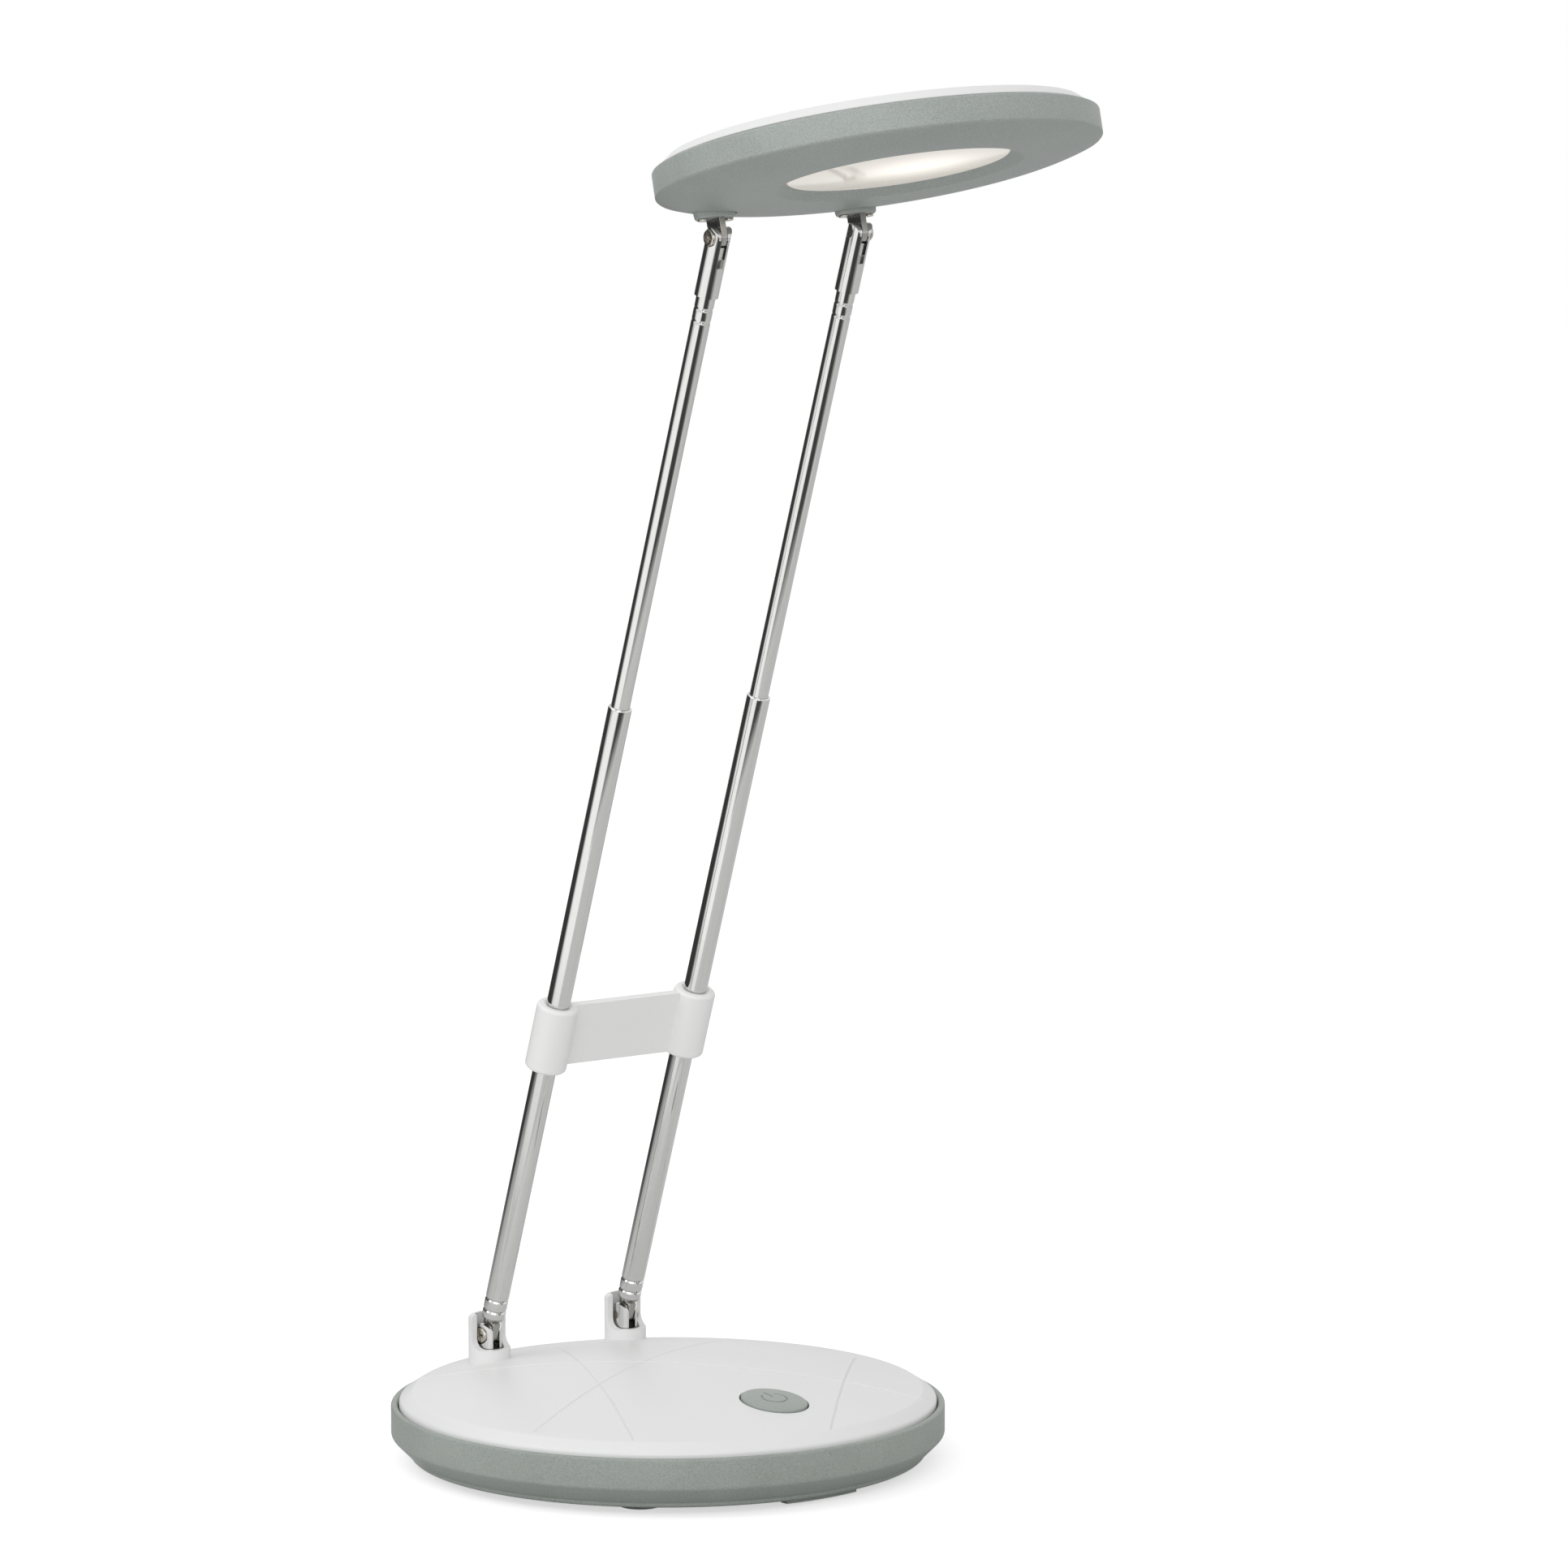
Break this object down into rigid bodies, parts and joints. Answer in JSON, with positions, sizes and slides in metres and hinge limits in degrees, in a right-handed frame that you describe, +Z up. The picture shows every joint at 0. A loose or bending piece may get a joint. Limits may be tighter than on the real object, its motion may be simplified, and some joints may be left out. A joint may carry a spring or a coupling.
{
  "type": "desk lamp",
  "caption": "Battery desk lamp: a tilting disc head with a frosted lens on twin chrome telescopic arms that fold on a round domed base with an oval push button.",
  "frame": {"origin": "on the table, under the centre of the round base, at the level of the bottoms of its rubber feet and of the pad in their middle", "axes": "+Z up, -Y towards the front where the button is and the head reaches, +X to the lamp's right along the hinge axes"},
  "size_m": [0.14, 0.2057, 0.3479],
  "materials": {
    "base_grey": "moulded, fine grain",
    "head_grey": "moulded, fine grain",
    "white_shell": "moulded, satin",
    "button_grey": "smooth moulded",
    "chrome_tube": "bright plated",
    "plug_steel": "stamped, plated",
    "screw_steel": "turned, plated",
    "spring_brass": "rolled strip",
    "foot_rubber": "matte",
    "ballast_iron": "as cast",
    "cell_can": "plain sleeve",
    "board_laminate": "lacquered",
    "switch_body": "moulded",
    "wire_jacket": "extruded",
    "frosted_lens": "frosted",
    "led_yellow": "cast resin"
  },
  "bodies": {
    "base": {"base_tray": "base_grey", "base_cover": "white_shell", "battery_door": "base_grey", "battery_door_screw": "screw_steel", "door_pad": "foot_rubber", "rubber_feet": "foot_rubber", "case_screws": "screw_steel", "ballast_plate": "ballast_iron", "battery_cells": "cell_can", "battery_contacts": "spring_brass", "control_board": "board_laminate", "board_screws": "screw_steel", "push_switch": "switch_body", "clevis_leads": "wire_jacket", "battery_leads": "wire_jacket", "stud_nuts": "screw_steel", "solder_tags": "spring_brass", "base_clevis_left": "chrome_tube", "base_clevis_right": "chrome_tube", "base_hinge_screw_left": "screw_steel", "base_hinge_screw_right": "screw_steel"},
    "power_button": {"power_button": "button_grey", "switch_plunger": "switch_body"},
    "lower_arms": {"lower_tube_left": "chrome_tube", "lower_tube_right": "chrome_tube", "lower_end_plug_left": "plug_steel", "lower_end_plug_right": "plug_steel"},
    "upper_arms": {"upper_tube_left": "chrome_tube", "upper_tube_right": "chrome_tube", "friction_sleeve_left": "spring_brass", "friction_sleeve_right": "spring_brass", "head_knuckle_left": "chrome_tube", "head_knuckle_right": "chrome_tube", "head_hinge_screw_left": "screw_steel", "head_hinge_screw_right": "screw_steel"},
    "bridge_clip": {"bridge_clip": "white_shell"},
    "head": {"head_tongue_left": "plug_steel", "head_tongue_right": "plug_steel", "hinge_flange_left": "head_grey", "hinge_flange_right": "head_grey", "flange_screws": "screw_steel", "head_housing": "head_grey", "head_cover": "white_shell", "lens": "frosted_lens", "led_board": "board_laminate", "leds": "led_yellow", "led_screws": "screw_steel", "head_leads": "wire_jacket"}
  },
  "joints": [
    {"name": "arm_swing", "type": "hinge", "parent": "base", "child": "lower_arms", "pos_m": [0, 0.0465, 0.0275], "axis": [1, 0, 0], "range_deg": [-22, 70]},
    {"name": "arm_extend", "type": "slide", "parent": "lower_arms", "child": "upper_arms", "axis": [0, -0.3196, 0.9475], "range_m": [-0.108, 0]},
    {"name": "clip_slide", "type": "slide", "parent": "lower_arms", "child": "bridge_clip", "axis": [0, -0.3196, 0.9475], "range_m": [-0.058, 0.08]},
    {"name": "head_tilt", "type": "hinge", "parent": "upper_arms", "child": "head", "pos_m": [0, -0.04897, 0.31053], "axis": [1, 0, 0], "range_deg": [-55, 120]},
    {"name": "button_press", "type": "slide", "parent": "base", "child": "power_button", "axis": [0, 0.1383, -0.9904], "range_m": [0, 0.001], "stiffness_N_per_m": 1500, "springref_m": -0.0005}
  ]
}
